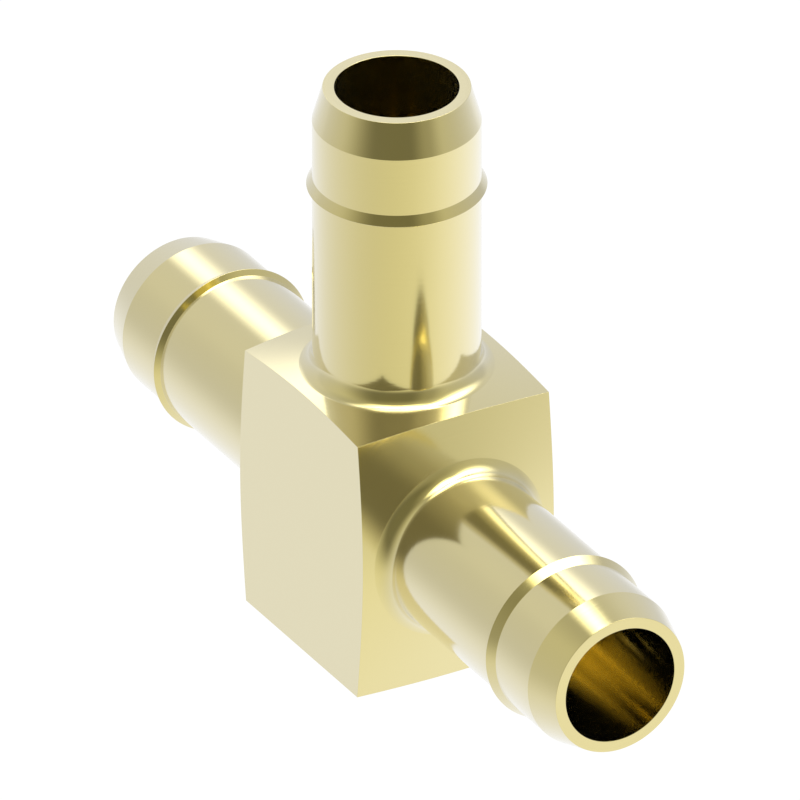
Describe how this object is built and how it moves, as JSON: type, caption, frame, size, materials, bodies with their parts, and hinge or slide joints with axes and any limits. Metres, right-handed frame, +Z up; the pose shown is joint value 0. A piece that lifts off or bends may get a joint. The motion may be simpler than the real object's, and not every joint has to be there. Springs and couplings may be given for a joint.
{
  "type": "hose barb tee",
  "caption": "Solid brass tee with two barbed hose ends in line and one barbed branch at right angles, joined by crossing bores in a flat-sided body.",
  "frame": {"origin": "centre of the flat bottom face, straight below the point where the run's axis and the branch's axis cross, 12.75 mm above it", "axes": "+X along the run, +Z up along the branch towards its tip, Y across the two flat sides"},
  "size_m": [0.0754, 0.0188, 0.0527],
  "materials": {
    "brass": "bright turned and milled brass"
  },
  "bodies": {
    "root": {"tee_body": "brass"}
  },
  "joints": []
}
